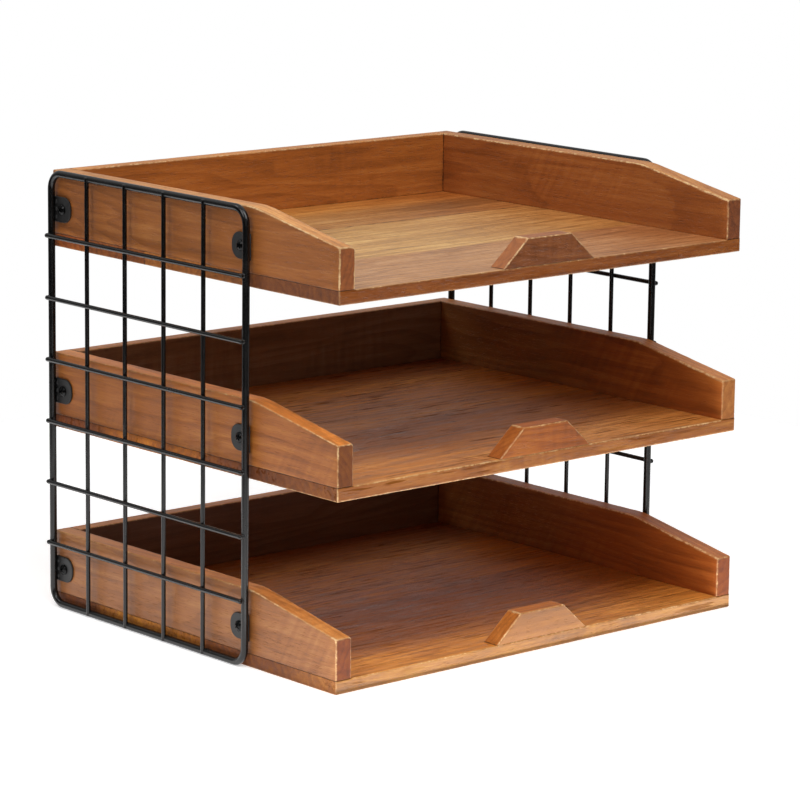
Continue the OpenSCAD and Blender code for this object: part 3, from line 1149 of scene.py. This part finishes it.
# Soft boxes above and to the left, and low ones for what a white table throws up. Each light has
# its place, what it faces, its width and height in metres, and its power in watts.
LIGHTS = {
    "overhead": ((-0.15, -0.12, 1.7), (-0.15, -0.12, 0), (1.5, 1.5), 3.0),
    "steep_front": ((-0.25, -0.75, 1.7), (0, -0.05, 0.15), (1.1, 0.6), 8.0),
    "over_front": ((-0.2, -1.2, 1.35), (0, 0, 0.15), (1.0, 0.7), 12.0),
    "left_high": ((-1.3, -0.1, 1.2), (0, 0, 0.15), (0.7, 1.0), 8.0),
    "left_back": ((-0.9, 0.8, 1.5), (0, 0, 0.15), (0.6, 0.6), 4.0),
    "front_left": ((-1.1, -1.2, 0.5), (0, 0, 0.15), (0.8, 0.6), 0.9),
    "table_front": ((0, -0.189, 0.002), (0, -0.189, 1), (0.6, 0.1), 0.41),
    "table_left": ((-0.326, 0, 0.002), (-0.326, 0, 1), (0.32, 0.8), 0.41),
    "low_left": ((-1.3, 0.35, -0.9), (-0.1, 0.0, 0.15), (0.8, 0.8), 1.5),
}


def make_stage():
    make_camera()
    make_floor()
    make_world()
    for name, (place, target, size, power) in LIGHTS.items():
        make_light(name, place, target, size, power)
    view = bpy.context.scene.view_settings
    view.view_transform = "Standard"
    view.look = "None"


# ================ The object ================


# Planks, bands of painted shade and glue lines are placed by depth from the front edge, and marks by
# (x, y, z), in mm.
# Tones multiply the stain's red, green and blue, and a factor multiplies a tone.


def floor_materials():
    return {
        "upper": wood(
            "stained_upper_base", X, figure=0.4, fleck=0.55, dullness=0.40, open_grain=0.2,
            planks_and_shade_bands=[
                (81, 0.6, (310, 40, 12), (1.25, 1.42, 1.17)),
                (182.5, 0.6, (-520, -30, 25), (0.75, 0.62, 0.55)),
                (238, 12, (0, 0, 0), (1.25, 1.1, 0.8)),
            ],
            lines=[(182.5, 0.9)],
            marks=[
                ((60, -12.5, 239), (2.2, 1.0, 6), 0.85),
                ((71, -11.5, 239), (1.2, 0.8, 6), 0.85),
                ((112, 78, 239), (62, 17, 8), 0.3),
            ],
        ),
        "middle": wood(
            "stained_middle_base", X, figure=0.55, fleck=0.45, dullness=0.40, open_grain=1.0,
            planks_and_shade_bands=[
                # Painted shade behind the front strip, where the tray above shades the floor.
                (45, 22, (0, 0, 0), (0.63, 0.545, 0.41)),
                (122, 14, (0, 0, 0), (1.68, 1.98, 1.45)),
                (171, 2, (420, -35, 14), (1.12, 1.12, 0.95)),
                # Painted shade along the back wall's foot.
                (222, 20, (0, 0, 0), (0.43, 0.33, 0.43)),
            ],
        ),
        "lower": wood(
            "stained_lower_base", X, figure=0.55, fleck=0.45, dullness=0.40, open_grain=0.8,
            planks_and_shade_bands=[
                # Painted shade behind the front strip, where the tray above shades the floor.
                (34, 26, (0, 0, 0), (0.47, 0.35, 0.17)),
                (128, 14, (0, 0, 0), (1.55, 1.9, 1.3)),
                (150, 2, (-330, 30, 22), (1.05, 1.12, 1.0)),
                # Painted shade along the back wall's foot.
                (220, 22, (0, 0, 0), (0.37, 0.26, 0.36)),
            ],
        ),
    }


# Each base's front face is darkened by painted shade, the most on the upper tier.
BASES = {
    "upper": dict(
        # The upper tone is the floor's own pale colour and, in part, painted sheen: its raised green
        # and blue pale the floor as sheen would.
        tone=(1.25, 1.71, 2.78), front_shade_factor=(0.53, 0.30, 0.105), end_factor=(0.45, 0.28, 0.13),
        right_shade_from=(0, -40), right_shade_factor=(0.82, 0.62, 0.48), wear=0.2,
    ),
    "middle": dict(
        tone=(1.6, 1.75, 1.6), front_shade_factor=(0.54, 0.45, 0.3), end_factor=(0.41, 0.33, 0.22),
        right_shade_from=(95, 35), right_shade_factor=(0.7, 0.6, 0.65), wear=0.6,
    ),
    "lower": dict(
        tone=(1.8, 2.0, 1.45), front_shade_factor=(0.5, 0.53, 0.48), end_factor=(0.6, 0.58, 0.7),
        right_shade_from=(95, 35), right_shade_factor=(0.75, 0.65, 0.7), wear=0.35,
    ),
}

LEFT_WALLS = {
    "upper": dict(
        tone=(0.92, 0.87, 0.76), top_factor=(1.68, 2.15, 2.7), end_factor=(0.95, 0.84, 0.68),
        deep_shade_tint=1.0, nose_r=3.4 * MM, wear=1.0,
    ),
    "middle": dict(
        tone=(0.91, 0.815, 0.57), top_factor=(2.0, 2.2, 2.6), end_factor=(0.58, 0.5, 0.15),
        deep_shade_tint=1.0, nose_r=1.8 * MM, wear=0.48,
    ),
    "lower": dict(
        tone=(0.84, 0.88, 0.93), top_factor=(1.8, 1.9, 1.8), end_factor=(0.53, 0.32, 0.08),
        deep_shade_tint=1.0, nose_r=1.8 * MM, wear=0.48,
    ),
}

# On the middle and lower right walls, the inner face deep in the tray takes painted shade: a darker,
# greyer tint.
RIGHT_WALLS = {
    "upper": dict(
        tone=(0.81, 0.65, 0.48), top_factor=(1.5, 1.95, 2.3), end_factor=(0.78, 0.76, 0.78),
        deep_shade_tint=1.0, nose_r=1.4 * MM, wear=0.32,
    ),
    "middle": dict(
        tone=(1.04, 0.82, 0.56), top_factor=(1.45, 1.88, 2.4), end_factor=(1.09, 1.43, 1.77),
        deep_shade_tint=(0.75, 1.07, 1.7), nose_r=1.4 * MM, wear=0.32,
    ),
    "lower": dict(
        tone=(0.95, 0.68, 0.41), top_factor=(1.37, 1.72, 2.2), end_factor=(0.62, 0.54, 0.17),
        deep_shade_tint=(0.75, 1.05, 1.7), nose_r=1.4 * MM, wear=0.32,
    ),
}

BACK_TONE = (1.04, 0.92, 0.66)
BACK_TOP_FACTOR = (1.5, 1.8, 2.0)
# Painted shade on the back walls' inner faces: darker and greyer on the middle and lower tiers, which
# lie under a tray.
BACK_INNER_SHADE_FACTORS = {"upper": 1.0, "middle": (0.62, 1.15, 3.9), "lower": (0.33, 0.53, 1.8)}

# The stops carry painted light and shade: their front faces are darkened, the most on the upper tier,
# and the lower tiers' stops are lighter, as light thrown up from the table would make them.
STOPS = {
    "upper": dict(tone=(0.98, 0.9, 0.84), face_shade_factor=(0.58, 0.53, 0.53)),
    "middle": dict(tone=(1.1, 0.88, 0.6), face_shade_factor=(0.83, 0.76, 0.31)),
    "lower": dict(tone=(1.4, 1.35, 0.95), face_shade_factor=(0.58, 0.66, 0.66)),
}


def make_trays():
    wall = wood("stained_wall", Y)
    rear = wood("stained_back_wall", X)
    stop = wood("stained_stop", X, ring_gap=5.0)
    floors = floor_materials()
    for tier in TIERS:
        make_base(tier, floors[tier], **BASES[tier])
        make_side_wall(tier, "left", wall, **LEFT_WALLS[tier])
        make_side_wall(tier, "right", wall, **RIGHT_WALLS[tier])
        make_back_wall(tier, rear, BACK_TONE, BACK_TOP_FACTOR, BACK_INNER_SHADE_FACTORS[tier])
        make_stop(tier, stop, **STOPS[tier])


def make_frames():
    coat = powder_coat("black_coat", COAT_BLACK, 0.24)
    plate = powder_coat("black_plate", COAT_GREY, 0.5)
    for side in SIDES:
        make_rim(side, coat)
        for number in UPRIGHTS:
            make_upright(side, number, coat)
        for number in CROSS_WIRES:
            make_cross_wire(side, number, coat)
        for tier in TIERS:
            make_tab(side, tier, "front", plate)
            make_tab(side, tier, "back", plate)


def finish_carried_over():
    screw = bare_metal("black_screw", SCREW_BLACK, 0.24)
    brad = bare_metal("brad_steel", BRAD_STEEL, 0.4)
    for side in SIDES:
        set_material(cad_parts[f"{side}_screws"], screw)
    for tier in TIERS:
        set_material(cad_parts[f"{tier}_brads"], brad)


def set_material(node, material):
    if not node.material_slots:
        node.data.materials.append(material)
    for slot in node.material_slots:
        slot.material = material


make_stage()
make_trays()
make_frames()
finish_carried_over()
